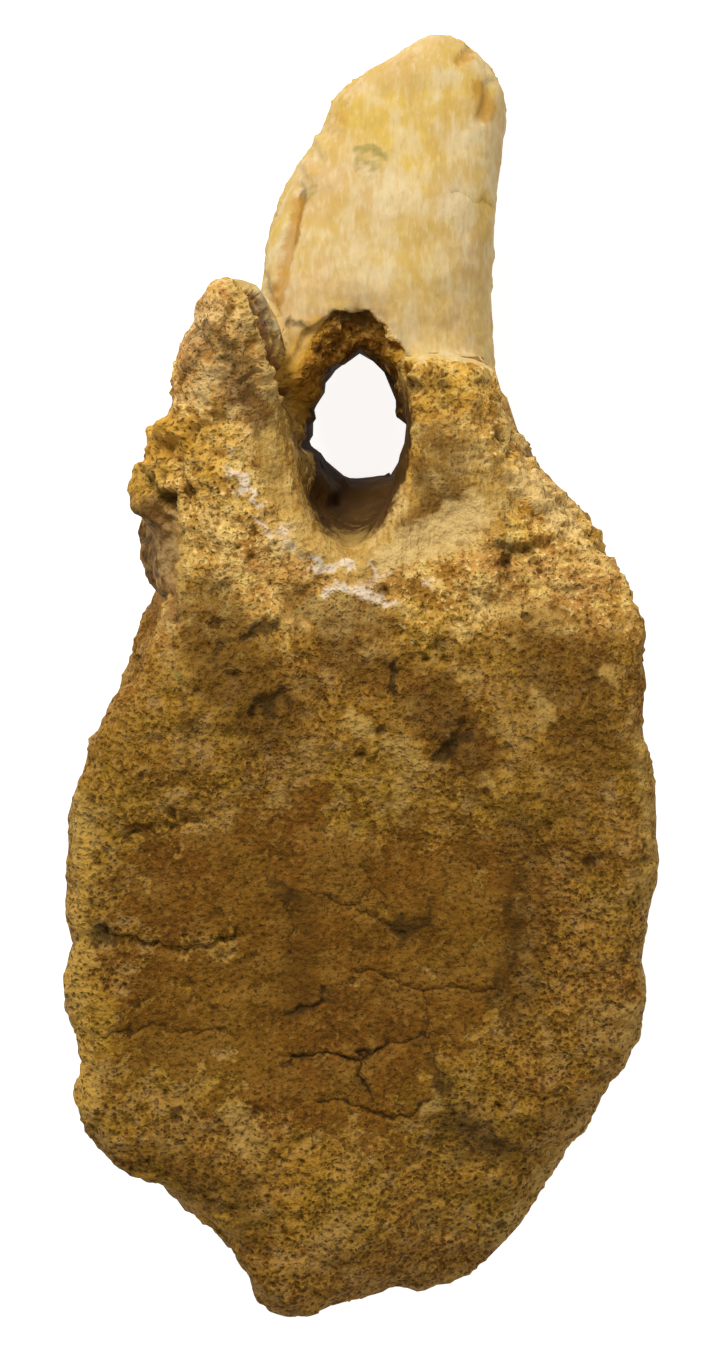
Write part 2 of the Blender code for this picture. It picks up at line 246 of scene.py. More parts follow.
# Lines cut into the surface, in the same way: how deep and how wide, in mm, and the line
CUTS = (
    (1.2, 1.5, ((300, 188), (295, 215), (289, 240), (283, 266), (276, 290))),
    (0.8, 1.8, ((490, 84), (487, 102), (482, 118))),
    (0.7, 1.6, ((474, 46), (466, 54), (460, 62))),
    (0.9, 0.7, ((241, 383), (250, 380), (259, 374))),
    (1.0, 1.8, ((236, 300), (228, 318), (222, 340))),
    (0.8, 1.4, ((196, 330), (204, 346), (216, 362))),
    (0.9, 1.5, ((392, 668), (391, 690))),
    (1.0, 2.0, ((250, 640), (262, 622), (276, 632))),
    (0.9, 2.0, ((256, 716), (268, 702), (282, 698))),
    (1.0, 2.2, ((444, 752), (456, 740), (468, 730))),
    (0.8, 1.6, ((500, 566), (528, 552), (556, 545))),
    (0.8, 1.2, ((520, 450), (545, 462), (562, 478))),
    (0.8, 1.2, ((528, 486), (556, 497), (580, 516))),
    (0.9, 1.6, ((150, 480), (160, 492), (170, 500))),
)

# Ridges and lumps that stand out, in the same way: how high and how wide, in mm, and the line
RAISED = (
    (1.2, 2.0, ((242, 300), (250, 318), (258, 342), (268, 370), (276, 396))),
    (0.9, 2.0, ((226, 462), (250, 492), (268, 512), (292, 540), (320, 558))),
    (1.0, 2.4, ((388, 352), (402, 364), (416, 372), (440, 364))),
    (1.6, 3.4, ((140, 462), (150, 440), (176, 428))),
    (1.0, 2.4, ((166, 512), (196, 520), (232, 540))),
    (0.9, 2.6, ((172, 372), (178, 388), (184, 404))),
    (0.9, 2.0, ((322, 142), (326, 152))),
    (0.8, 2.0, ((308, 166), (312, 174))),
    (0.7, 2.2, ((470, 446), (510, 470), (540, 500))),
    (1.2, 2.6, ((418, 366), (440, 370))),
    (1.2, 2.6, ((456, 366), (466, 374), (474, 374))),
    (1.0, 2.4, ((436, 380), (452, 386))),
    (0.9, 2.4, ((466, 392), (478, 398))),
    (0.8, 2.2, ((500, 520), (540, 535), (590, 560))),
)

# Lumps on the walls of the canal, in the same way. They make its far end as ragged as it is
CANAL_LUMPS = (
    (2.2, 4.0, ((306, 464), (314, 474), (330, 488))),
    (1.4, 3.0, ((350, 490), (380, 489))),
    (1.8, 3.0, ((394, 356), (408, 392), (412, 410))),
    (0.9, 2.6, ((318, 392), (310, 412))),
    (1.0, 2.0, ((304, 416), (304, 434))),
    (0.7, 2.4, ((411, 410), (410, 436))),
    (1.2, 2.0, ((340, 358), (350, 352))),
)

# Cracks in the plates of the face and in the spine: how strong, from 0 to 1, and the line
CRACKS = (
    (0.75, ((97, 932), (140, 942), (182, 948), (212, 945), (232, 934), (240, 926))),
    (0.70, ((122, 842), (149, 833), (176, 828), (204, 820))),
    (0.70, ((98, 1037), (130, 1032), (153, 1024), (184, 1035), (208, 1030), (232, 1034))),
    (0.80, ((284, 1013), (302, 1007), (325, 1003), (322, 990))),
    (1.00, ((290, 1058), (310, 1056), (328, 1050), (352, 1058), (367, 1054), (383, 1048))),
    (0.80, ((383, 1048), (402, 1040), (424, 1036))),
    (0.90, ((360, 1058), (360, 1075), (368, 1095))),
    (0.80, ((321, 1100), (344, 1104), (368, 1112), (396, 1120), (412, 1113), (428, 1098))),
    (0.70, ((360, 970), (391, 978), (422, 989), (449, 988), (472, 993), (493, 990))),
    (0.70, ((309, 887), (332, 899), (356, 910), (391, 930), (404, 934))),
    (0.60, ((362, 870), (376, 884), (383, 902), (375, 922))),
    (0.50, ((289, 896), (291, 924), (290, 952))),
    (0.60, ((422, 989), (427, 1018), (434, 1056), (438, 1072))),
    (0.50, ((138, 1166), (165, 1177), (190, 1188), (236, 1208))),
    (0.30, ((452, 190), (470, 196), (492, 206))),
)

# Stains and patches of other colours, and among them a few of painted shade and painted
# highlight,
# in the same way: the colour, how strong and how wide in mm, and the line
STAINS_AND_PAINTED_LIGHT = (
    ("dark", 0.7, 2.2, ((250, 634), (276, 622))),
    ("dark", 0.7, 2.2, ((255, 710), (282, 698))),
    ("dark", 0.8, 1.2, ((389, 668), (393, 692))),
    ("dark", 0.8, 3.0, ((446, 752), (460, 738))),
    ("dark", 0.5, 1.6, ((214, 663), (224, 640))),
    ("dark", 0.5, 1.4, ((176, 678), (190, 731))),
    ("dark", 0.4, 2.0, ((308, 684), (318, 694))),
    ("dark", 0.4, 2.0, ((592, 668), (600, 684))),
    ("dark", 0.5, 2.4, ((276, 884), (292, 898))),
    ("dark", 0.7, 2.2, ((398, 932), (420, 923))),
    ("dark", 0.6, 1.4, ((426, 908), (430, 920))),
    ("dark", 0.55, 4.0, ((456, 1122), (496, 1140))),
    ("dark", 0.6, 2.5, ((440, 1079), (450, 1090))),
    ("dark", 0.45, 3.0, ((496, 1000), (510, 950), (520, 880))),
    ("dark", 0.6, 3.0, ((96, 932), (104, 940))),
    ("dark", 0.4, 1.6, ((140, 1166), (186, 1190), (240, 1212))),
    ("dark", 0.6, 1.1, ((284, 1013), (302, 1007), (325, 1003))),
    ("dark", 0.6, 1.2, ((290, 1058), (300, 1056))),
    ("dark", 0.6, 1.2, ((376, 1052), (388, 1047))),
    ("dark", 0.5, 1.2, ((322, 990), (332, 1000))),
    ("dark", 0.5, 1.0, ((404, 934), (414, 928))),
    ("dark", 0.5, 1.4, ((430, 1060), (440, 1078))),
    ("dark", 0.5, 1.2, ((412, 1044), (424, 1036))),
    ("dark", 0.4, 1.2, ((360, 1078), (368, 1094))),
    ("dark", 0.5, 1.8, ((192, 330), (196, 352), (184, 376))),
    ("dark", 0.4, 1.4, ((206, 338), (216, 352))),
    ("dark", 0.6, 2.4, ((152, 474), (166, 498))),
    ("dark", 0.5, 2.0, ((402, 384), (418, 392), (440, 384))),
    # Painted shadow along the top of the canal's broken roof, under the spine's edge
    ("dark", 0.6, 1.6, ((334, 316), (366, 316))),
    ("umber", 0.8, 9.0, ((206, 610), (236, 680), (268, 712))),
    ("umber", 0.8, 7.0, ((430, 700), (470, 750))),
    ("umber", 0.6, 7.0, ((520, 820), (530, 900), (516, 1000))),
    ("umber", 0.6, 6.0, ((440, 1120), (500, 1146))),
    ("umber", 0.6, 6.0, ((330, 640), (390, 680))),
    ("umber", 0.6, 7.0, ((590, 660), (600, 760))),
    ("umber", 0.6, 5.0, ((300, 900), (300, 1000))),
    ("umber", 0.5, 4.0, ((120, 440), (150, 500), (160, 590))),
    ("umber", 0.6, 6.0, ((150, 1160), (230, 1200), (250, 1240))),
    # Painted shade on the process's inner wall beside its ridge, over the wall's own umber
    ("umber", 0.8, 2.4, ((256, 296), (267, 322), (276, 350), (283, 376), (290, 402))),
    ("umber", 0.7, 4.0, ((228, 350), (246, 390), (262, 420))),
    ("umber", 0.7, 3.0, ((420, 470), (432, 500), (410, 530))),
    ("red", 0.8, 1.0, ((250, 771), (252, 773))),
    ("red", 0.7, 1.0, ((484, 739), (486, 741))),
    # Painted shade on the same inner wall, in its own red-brown
    ("red", 0.9, 2.2, ((254, 290), (264, 318), (274, 346), (282, 374), (290, 398))),
    ("umber", 0.8, 0.9, ((301, 190), (297, 218), (294, 240))),
    ("orange", 0.7, 1.6, ((460, 60), (470, 54), (472, 50))),
    ("orange", 0.4, 2.0, ((262, 112), (276, 98))),
    ("umber", 0.6, 9.0, ((540, 640), (576, 740))),
    ("pale", 0.5, 2.0, ((510, 640), (516, 648))),
    ("pale", 0.5, 2.0, ((498, 724), (504, 732))),
    ("pale", 0.6, 2.0, ((612, 668), (616, 682))),
    ("dark", 0.5, 1.0, ((594, 818), (597, 821))),
    ("dark", 0.5, 1.0, ((582, 690), (586, 694))),
    ("dark", 0.5, 1.2, ((546, 604), (552, 606))),
    ("umber", 0.5, 7.0, ((560, 790), (590, 860))),
    ("umber", 0.6, 5.0, ((300, 600), (330, 610), (380, 620))),
    ("umber", 0.6, 5.0, ((444, 440), (452, 480), (446, 510))),
    ("dark", 0.5, 2.0, ((210, 332), (224, 350), (232, 372))),
    ("dark", 0.5, 1.6, ((494, 540), (508, 548), (530, 552))),
    ("cream", 0.6, 2.0, ((214, 368), (206, 388), (196, 408))),
    # Painted highlight along the lip of the face's upper rim, where it turns towards the light
    ("cream", 0.8, 4.0, ((390, 552), (430, 540), (470, 516))),
    ("cream", 0.7, 4.0, ((520, 476), (548, 500), (572, 524))),
    # Painted highlight along the lip of the face's upper rim
    ("cream", 0.5, 3.0, ((268, 530), (300, 552))),
    ("cream", 0.3, 3.0, ((214, 440), (240, 470))),
    ("cream", 0.35, 9.0, ((330, 290), (420, 310), (490, 330))),
    ("yellow", 0.5, 5.0, ((430, 386), (480, 396))),
    ("red", 0.4, 6.0, ((226, 380), (250, 410))),
    ("plum", 0.9, 4.0, ((146, 510), (156, 550), (160, 600))),
    ("cream", 0.7, 0.8, ((164, 508), (168, 540), (166, 580))),
    ("cream", 0.6, 0.6, ((156, 530), (159, 560), (160, 594))),
    ("dark", 0.6, 1.2, ((142, 506), (146, 540), (154, 580))),
    # Painted highlight along the crest of the process's ridge
    ("pale", 0.9, 1.4, ((236, 290), (246, 314), (256, 340), (266, 368), (274, 392))),
    # Painted light along the bone's lit left edge
    ("pale", 0.7, 3.4, ((84, 810), (80, 900), (76, 950), (78, 1040), (88, 1100))),
    # Painted light along the lit left edge, in yellow
    ("yellow", 0.5, 3.4, ((84, 850), (78, 950), (84, 1100))),
    ("pale", 0.6, 2.4, ((640, 740), (650, 850), (647, 960), (628, 1060))),
    # Painted highlight along the lip of the face's upper rim
    ("pale", 0.7, 5.0, ((330, 550), (400, 552), (450, 530))),
    ("pale", 0.7, 3.0, ((270, 440), (276, 490), (300, 530))),
    ("pale", 0.9, 2.6, ((356, 722), (364, 728))),
    ("pale", 0.7, 3.0, ((396, 746), (412, 762))),
    ("pale", 0.5, 3.0, ((398, 784), (404, 812))),
    ("pale", 0.8, 2.6, ((538, 700), (544, 722))),
    ("pale", 0.7, 1.4, ((486, 780), (490, 784))),
    ("pale", 0.6, 2.0, ((276, 800), (282, 803))),
    ("pale", 0.8, 1.8, ((178, 508), (184, 540), (180, 590))),
    ("pale", 0.6, 2.0, ((284, 648), (289, 652))),
    ("pale", 0.6, 2.0, ((368, 648), (374, 652))),
    ("pale", 0.6, 2.0, ((462, 676), (468, 679))),
    ("pale", 0.6, 4.0, ((236, 1120), (250, 1150))),
    ("pale", 0.8, 2.0, ((428, 1110), (436, 1096))),
    ("pale", 0.5, 4.0, ((500, 600), (560, 620))),
    # Painted highlight along the lip of the face's upper rim
    ("pale", 0.8, 3.0, ((280, 520), (310, 556), (360, 574))),
    # Painted highlight along the lip of the face's upper rim
    ("pale", 0.8, 3.0, ((450, 520), (490, 500))),
    ("yellow", 0.35, 8.0, ((440, 1200), (500, 1170))),
    ("yellow", 0.3, 6.0, ((290, 1270), (320, 1290))),
    ("pale", 0.7, 1.6, ((560, 1150), (532, 1195), (488, 1240))),
    ("pale", 0.5, 5.0, ((584, 1130), (552, 1190), (510, 1232))),
    ("yellow", 0.5, 4.0, ((150, 1176), (190, 1206), (226, 1230))),
    ("yellow", 0.8, 4.0, ((150, 430), (184, 436))),
    ("yellow", 0.8, 5.0, ((140, 490), (160, 450))),
    ("yellow", 0.8, 5.0, ((200, 440), (216, 452))),
    # Lighter on the broken roof's left side: partly its own yellow, partly painted light where
    # the light falls
    ("yellow", 0.8, 2.4, ((286, 384), (300, 350), (318, 326))),
    ("yellow", 0.7, 2.0, ((300, 390), (304, 404), (300, 416))),
    ("yellow", 0.7, 1.6, ((392, 352), (404, 366))),
    ("yellow", 0.5, 5.0, ((96, 1000), (100, 1040))),
    ("yellow", 0.4, 6.0, ((300, 1150), (330, 1170))),
    # Orange on the broken roof's left side, partly painted light where the light falls
    ("orange", 0.5, 3.0, ((296, 384), (304, 356))),
    ("orange", 0.6, 4.0, ((160, 450), (196, 440))),
    ("orange", 0.9, 2.0, ((480, 88), (485, 100), (488, 114))),
    ("orange", 1.0, 1.5, ((299, 200), (291, 240), (284, 266), (275, 300))),
    ("orange", 0.4, 2.4, ((352, 84), (342, 110), (338, 134))),
    ("orange", 0.45, 4.0, ((282, 1192), (308, 1208))),
    ("orange", 0.4, 5.0, ((262, 1160), (302, 1180))),
    ("orange", 0.5, 3.0, ((404, 404), (430, 414), (470, 406))),
    ("white", 0.8, 1.1, ((308, 565), (350, 567))),
    ("white", 0.8, 1.4, ((330, 585), (362, 594), (392, 599))),
    ("white", 0.4, 1.2, ((352, 588), (372, 582))),
    ("white", 0.4, 1.2, ((424, 588), (440, 578))),
    ("white", 0.6, 1.2, ((372, 570), (384, 573))),
    ("white", 0.7, 1.1, ((232, 474), (250, 494), (262, 506))),
    ("white", 0.4, 1.0, ((220, 450), (236, 470))),
    ("white", 0.5, 1.1, ((252, 520), (272, 530), (290, 550))),
    ("grey", 0.7, 1.0, ((358, 150), (370, 147), (382, 154))),
    ("grey", 0.5, 1.6, ((358, 162), (374, 164))),
    ("umber", 0.3, 2.0, ((360, 172), (374, 174))),
    ("dark", 0.6, 1.2, ((288, 321), (306, 327))),
    ("grey", 0.5, 1.2, ((312, 184), (304, 200))),
    ("orange", 0.4, 1.2, ((396, 66), (412, 58))),
    ("orange", 0.4, 1.2, ((354, 92), (362, 86))),
    ("grey", 0.7, 1.0, ((175, 676), (179, 679))),
)

# Layers of colour, from the lowest: a pattern, the values between which the layer comes in,
# and how much it covers at most
LAYERS = {
    "yellow parts": ("hue", 0.50, 0.64, 0.8),
    "red parts": ("hue", 0.50, 0.36, 0.8),
    "light patches": ("shade", 0.51, 0.66, 0.8),
    "dark patches": ("shade", 0.48, 0.34, 0.7),
    "light bands": ("wide_streak", 0.50, 0.64, 0.5),
    "dark bands": ("wide_streak", 0.48, 0.34, 0.5),
    "light mottles": ("mottle", 0.50, 0.70, 0.8),
    "dark mottles": ("mottle", 0.48, 0.32, 0.7),
    "light streaks": ("streak", 0.50, 0.76, 0.4),
    "dark streaks": ("streak", 0.48, 0.28, 0.5),
    "light grains": ("speck", 0.54, 0.72, 0.8),
    "dark grains": ("speck", 0.46, 0.30, 0.8),
    "creases": ("crease", 0.010, 0.0, 0.5),
    "pinholes": ("fine_pore", 0.43, 0.27, 0.8),
    "walls": ("pore", 0.95, 1.40, 0.6),
}

# What each kind of surface is painted with: its ground colour and the colours of its layers
PAINT = {
    "spongy": {
        "ground": "875c17", "yellow parts": "93701c", "red parts": "83541e",
        "light patches": "98743a", "dark patches": "6c4a13", "light mottles": "a07c46",
        "dark mottles": "6c4a12", "light grains": "a67c3a", "dark grains": "5e3e10",
        "pinholes": "4a300b", "walls": "ac8232",
    },
    # Lighter than the face: partly the upper bone's own paler colour, partly painted light where
    # the light falls from the top
    "upper_paler_and_lit": {
        "ground": "c69648", "yellow parts": "cc9e42", "red parts": "bc8844",
        "light patches": "dcb76c", "dark patches": "9a681c", "light mottles": "deba64",
        "dark mottles": "8c5e18", "light grains": "eacc84", "dark grains": "754f15",
        "pinholes": "583a0a",
    },
    "process": {
        "ground": "c89c56", "yellow parts": "d0a658", "red parts": "be8a50",
        "light patches": "dcb676", "dark patches": "a2722f", "light mottles": "dab470",
        "dark mottles": "966424", "light grains": "e2be80", "dark grains": "84561e",
        "pinholes": "64420f",
    },
    "compact": {
        "ground": "784d11", "yellow parts": "7e5815", "red parts": "724611",
        "light patches": "865e21", "dark patches": "66410d", "light mottles": "885e1e",
        "dark mottles": "64410c", "light grains": "8e6728", "dark grains": "4a310a",
        "creases": "3e280a", "pinholes": "3e2708",
    },
    "fan": {
        "ground": "b48a40", "light patches": "ceac6a", "dark patches": "8e6224",
        "light mottles": "d0ae66", "dark mottles": "9a6e2c", "light streaks": "dcbe80",
        "dark streaks": "80581e", "dark grains": "8c642a", "pinholes": "6c4c18",
    },
    "flank": {
        "ground": "8f6c30", "yellow parts": "94722e", "red parts": "7a5426",
        "dark patches": "66451c", "light bands": "a58348", "dark mottles": "6c4a1e",
        "light grains": "a07c42", "dark grains": "64441a", "pinholes": "4c3210",
    },
    "cortex": {
        "ground": "be9f60", "yellow parts": "c4a248", "red parts": "be9e6e",
        "light patches": "c8b284", "dark patches": "ba984e", "light bands": "ccb88e",
        "dark bands": "b8944a", "light streaks": "d0bf98", "dark streaks": "b69452",
    },
    "roof": {
        "ground": "96621c", "light patches": "b0802c", "light mottles": "c09030",
        "dark mottles": "5c3a0b", "light grains": "d0a04a", "dark grains": "53330a",
        "pinholes": "362006",
    },
    # The canal's walls and floor: a dark brown that is painted shade
    "canal_shade": {"ground": "4a300e", "light patches": "5e421c", "light mottles": "563c16"},
}

# Colours of the stains, which also paint the shade and highlights among them, and how much they
# cover at most
TINTS = {
    "umber": ("56360a", 0.65), "pale": ("bc9850", 0.55), "yellow": ("c89632", 0.6),
    "orange": ("a87418", 0.6), "red": ("6a381a", 0.6), "grey": ("857a40", 0.7),
    "cream": ("dcba78", 0.7), "plum": ("74502c", 0.55),
    "white": ("e2ccae", 0.85), "dark": ("33240a", 0.8),
}

# Fine relief: a pattern, the values between which it rises, the surface that it is on, and
# how high it is there, in mm
BUMPS = (
    ("speck", 0.25, 0.75, "spongy", 0.30),
    ("pore", 0.30, 0.90, "spongy", 0.32),
    ("speck", 0.25, 0.75, "compact", 0.25),
    ("streak", 0.25, 0.75, "cortex", 0.08),
    ("streak", 0.25, 0.75, "fan", 0.22),
    ("speck", 0.25, 0.75, "fan", 0.22),
)

# Between which values a kind of surface, a stain (a few of them are painted shade and
# highlights), the dark of the pores and the painted shade of small hollows come in, where the
# last is in mm
KIND_EDGE = (0.70, 1.0)
STAIN_AND_LIGHT_EDGE = (0.68, 1.25)
PORE_EDGE = (1.22, 0.74)
HOLLOW_SHADE_EDGE = (-0.1, -1.0)

# How ragged the edges of kinds of surface and of stains (with their painted light) are, and how
# much the finest pores add to the others
KIND_RAGGED, STAIN_AND_LIGHT_RAGGED = 0.7, 0.5
FINE_PORES = 0.8

# A crack's line: how far it strays from its groove, and half its width at most, in mm
CRACK_WANDER = 1.2
CRACK_WIDTH = 0.55

# The dark of pores and cracks, the painted shade of small hollows, and how much it covers at most
PORE_DARK, PORE_COVER = "4a3412", 0.75
CRACK_DARK = "2c1e0a"
HOLLOW_SHADE, HOLLOW_SHADE_COVER = "3a2408", 0.6


def soft(value, low, high):
    """0 below low, 1 above high, and a soft step between, for arrays."""
    share = np.clip((value - low) / (high - low), 0.0, 1.0)
    return share * share * (3.0 - 2.0 * share)


def between(start, end, share):
    """start where share is 0, end where it is 1, and evenly between."""
    return start + (end - start) * share


def seen(points):
    """Where points in mm show in the photograph, in pixels, and how far off they are."""
    from_target = points - LOOK_AT
    depth = EYE_DISTANCE - from_target @ EYE_BACK
    across = PHOTO_WIDE / 2 + FOCAL * from_target[:, 0] / depth
    down = PHOTO_TALL / 2 - FOCAL * (from_target @ EYE_UP) / depth
    return np.stack((across, down), 1), depth


def shown(place, depth):
    """1 for points on the surface nearest to the eye, and 0 for what that hides."""
    size = (PHOTO_WIDE // CELL + 2, PHOTO_TALL // CELL + 2)
    column = np.clip(place[:, 0] // CELL, 0, size[0] - 1).astype(int)
    row = np.clip(place[:, 1] // CELL, 0, size[1] - 1).astype(int)
    nearest = np.full(size, np.inf)
    np.minimum.at(nearest, (column, row), depth)
    return 1.0 - soft(depth - nearest[column, row], *HIDDEN)


def strayed(place, p, stray):
    """Places pushed about by up to half of stray each way, in pixels, so that what is drawn
    from them has a ragged edge."""
    return place + (np.stack((p["wobble_x"], p["wobble_y"]), 1) - 0.5) * stray


def from_line(place, line, reach):
    """How far places are from a line, in mm up to reach, and the side: 1 right of its way."""
    line = np.array(line, float)
    low, high = line.min(0) - reach / PIXEL, line.max(0) + reach / PIXEL
    close = np.flatnonzero(((place > low) & (place < high)).all(1))
    at = place[close]
    nearest = np.full(len(close), float(reach))
    which = np.zeros(len(close))
    for start, end in zip(line[:-1], line[1:]):
        way = end - start
        along = np.clip((at - start) @ way / (way @ way), 0.0, 1.0)
        off = at - start - along[:, None] * way
        gap = np.hypot(off[:, 0], off[:, 1]) * PIXEL
        turned = np.sign(way[0] * off[:, 1] - way[1] * off[:, 0])
        which = np.where(gap < nearest, turned, which)
        nearest = np.minimum(nearest, gap)
    distance = np.full(len(place), float(reach))
    side = np.zeros(len(place))
    distance[close] = nearest
    side[close] = which
    return distance, side


def on_line(place, line, width, flat, fade=1.0):
    """1 up to flat times the width from a line, and less and less to 0 at fade times it."""
    gap, _ = from_line(place, line, 2.0 * width)
    return 1.0 - soft(gap, flat * width, fade * width)


def within(place, outline, edge):
    """1 inside an outline, 0 outside, and a soft step that takes edge mm to either side."""
    outline = np.array(outline, float)
    inside = np.zeros(len(place), bool)
    for (x1, y1), (x2, y2) in zip(outline, np.roll(outline, -1, 0)):
        between_them = (y1 > place[:, 1]) != (y2 > place[:, 1])
        rise = y2 - y1 if y2 != y1 else 1.0
        crossing = (x2 - x1) * (place[:, 1] - y1) / rise + x1
        inside ^= between_them & (place[:, 0] < crossing)
    gap, _ = from_line(place, np.vstack((outline, outline[:1])), edge)
    signed = np.where(inside, gap, -gap)
    return soft(signed, -edge, edge)


def add(tree, kind, links=(), output=0, **settings):
    """Adds a node with its settings and links, and returns one of its outputs. Each link is a
    socket's name or number and a value or another node's output."""
    node = tree.nodes.new(kind)
    for name, value in settings.items():
        setattr(node, name, value)
    for socket, value in dict(links).items():
        if isinstance(value, bpy.types.NodeSocket):
            tree.links.new(value, node.inputs[socket])
        else:
            node.inputs[socket].default_value = value
    return node.outputs[output] if node.outputs else node


def pattern(tree, place, name, kind, sizes, layers):
    """A pattern as a node's output, from 0 to about 1. Pits are 0 in the middle of each pit,
    and some of them hardly show. Its name gives it a shift of its own, so that no two patterns
    lie on each other."""
    per_metre = [1.0 / (size * MM) for size in sizes]
    shift = [float(len(name)), float(sum(map(ord, name)) % 97), 3.5]
    at = add(tree, "ShaderNodeVectorMath", {0: place, 1: per_metre, 2: shift},
             operation="MULTIPLY_ADD")
    if kind == "noise":
        return add(tree, "ShaderNodeTexNoise", {"Vector": at, "Scale": 1.0, "Detail": layers})
    distance = add(tree, "ShaderNodeTexVoronoi", {"Vector": at, "Scale": 1.0})
    own = add(tree, "ShaderNodeSeparateXYZ", {0: distance.node.outputs["Color"]})
    return add(tree, "ShaderNodeMath", {0: own, 1: FAINTER, 2: distance},
               operation="MULTIPLY_ADD")


def unevenly(tree, place):
    """The same place, pushed about a little, so that pits drawn from it aren't regular."""
    at = add(tree, "ShaderNodeVectorMath", {0: place, "Scale": 1.0 / (PUSH_SIZE * MM)},
             operation="SCALE")
    push = add(tree, "ShaderNodeTexNoise", {"Vector": at, "Scale": 1.0, "Detail": 1.0}, 1)
    return add(tree, "ShaderNodeVectorMath", {0: push, 1: [PUSH * MM] * 3, 2: place},
               operation="MULTIPLY_ADD")


def patterns_at(tree, place, recipes):
    """The outputs of several patterns, by name."""
    uneven = unevenly(tree, place)
    return {name: pattern(tree, uneven if recipe[0] == "pits" else place, name, *recipe)
            for name, recipe in recipes.items()}


def keep_result(piece):
    """Makes the shape that the piece's modifiers give its own mesh."""
    graph = bpy.context.evaluated_depsgraph_get()
    mesh = bpy.data.meshes.new_from_object(piece.evaluated_get(graph))
    piece.modifiers.clear()
    piece.data = mesh


def measure_patterns(piece):
    """The value of every pattern at every point of the piece, as arrays by name."""
    tree = bpy.data.node_groups.new("patterns", "GeometryNodeTree")
    for way in ("INPUT", "OUTPUT"):
        tree.interface.new_socket("Geometry", in_out=way, socket_type="NodeSocketGeometry")
    shape = add(tree, "NodeGroupInput")
    place = add(tree, "GeometryNodeInputPosition")
    for name, value in patterns_at(tree, place, SHAPE_PATTERNS).items():
        links = {"Geometry": shape, "Name": name, "Value": value}
        shape = add(tree, "GeometryNodeStoreNamedAttribute", links, data_type="FLOAT")
    add(tree, "NodeGroupOutput", {0: shape})
    piece.modifiers.new("patterns", "NODES").node_group = tree
    keep_result(piece)
    values = {}
    for name in SHAPE_PATTERNS:
        attribute = piece.data.attributes[name]
        found = np.empty(len(attribute.data), np.float32)
        attribute.data.foreach_get("value", found)
        values[name] = found.astype(float)
        piece.data.attributes.remove(attribute)
    bpy.data.node_groups.remove(tree)
    return values


def vectors(items, name):
    """A vector of each of a mesh's items, as rows."""
    found = np.empty(len(items) * 3, np.float32)
    items.foreach_get(name, found)
    return found.reshape(-1, 3).astype(float)


def place_points(mesh, points):
    """Puts a mesh's points at these places, in metres."""
    mesh.vertices.foreach_set("co", points.astype(np.float32).ravel())
    mesh.update()


def save(mesh, name, values):
    """Keeps values with the mesh's points under this name."""
    kind, key = ("FLOAT", "value") if values.ndim == 1 else ("FLOAT_VECTOR", "vector")
    attribute = mesh.attributes.new(name, kind, "POINT")
    attribute.data.foreach_set(key, values.astype(np.float32).ravel())


def bone_blank():
    """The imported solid's shape on a fine, even mesh, with its facets smoothed away."""
    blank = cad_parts["vertebra"].copy()
    blank.data = blank.data.copy()
    blank.parent = None
    blank.name = "fossil_vertebra"
    for key in list(blank.keys()):
        del blank[key]
    bpy.context.scene.collection.objects.link(blank)
    bm = bmesh.new()
    bm.from_mesh(blank.data)
    bmesh.ops.remove_doubles(bm, verts=bm.verts, dist=1e-6)
    bmesh.ops.recalc_face_normals(bm, faces=bm.faces)
    bm.to_mesh(blank.data)
    bm.free()
    even = blank.modifiers.new("even", "REMESH")
    even.mode = "VOXEL"
    even.voxel_size = VOXEL * MM
    rounded = blank.modifiers.new("rounded", "SMOOTH")
    rounded.iterations = SMOOTHING
    keep_result(blank)
    blank.data.materials.clear()
    return blank


def zones(points, normals, place, near, front, p):
    """The kinds of surface: how much each point is of each, from 0 to 1. near is 1 on what the
    photograph shows, and front is 1 where that faces the eye as well."""
    drawn = {name: within(strayed(place, p, stray), outline, edge)
             for name, (stray, edge, outline) in OUTLINES.items()}
    hidden = 1.0 - front
    breaks = PLATE_LUMPS * (p["lumps"] - 0.5) + PLATE_GRAINS * (p["grains"] - 0.5)
    spine = soft(points[:, 1], *SPINE)
    steep = soft(1.0 - np.abs(normals[:, 2]), *FLANK_STEEP)
    level = soft(points[:, 2], *FLANK_FROM) * (1.0 - soft(points[:, 2], *FLANK_TO))
    whole = 1.0 - soft(p["broad"], *FLANK_WORN)
    from_middle = (points[:, :2] - CANAL_MIDDLE) / CANAL_HALF
    canal = 1.0 - soft(np.hypot(from_middle[:, 0], from_middle[:, 1]), *CANAL_RIM)
    # Painted shade on the canal's walls, fading out higher up, towards its front opening
    dark = canal * (1.0 - soft(points[:, 2], *CANAL_SHADE_END))
    rough = drawn["rough"] * front
    low = soft(place[:, 1], *POROUS_ROWS) * front
    porous = between(LEAST_POROUS, 1.0, np.maximum(rough, low))
    return {
        # The upper part, painted lighter partly as painted light where the light falls from the
        # top
        "upper_paler_and_lit": soft(points[:, 1] + UPPER_STRAY * (p["broad"] - 0.5), *UPPER),
        "process": drawn["process"] * front,
        "compact": soft(drawn["compact"] + breaks, *PLATE_SHOWN) * front,
        "fan": np.maximum(drawn["fan"], drawn["recess"]) * front,
        "flank": steep * hidden * level * whole * (1.0 - spine),
        "cortex": np.maximum(drawn["cortex"] * front, hidden * spine),
        "roof": drawn["roof"] * front,
        # Painted shade on the canal's walls and on its floor below the opening
        "canal_shade": np.maximum(dark, drawn["canal_floor_shade"] * np.maximum(near, canal)),
        "in_canal": canal * (1.0 - soft(points[:, 2], *CANAL_LUMPS_END)),
        "shoulder": drawn["shoulder"] * front,
        "rough": rough,
        "porous": np.maximum(porous, STUMP_POROUS * drawn["stump"] * front),
    }


def solid_share(kinds):
    """How much of each point is a kind of surface without open pores."""
    return np.clip(sum(kinds[name] for name in SOLID_KINDS), 0.0, 1.0)


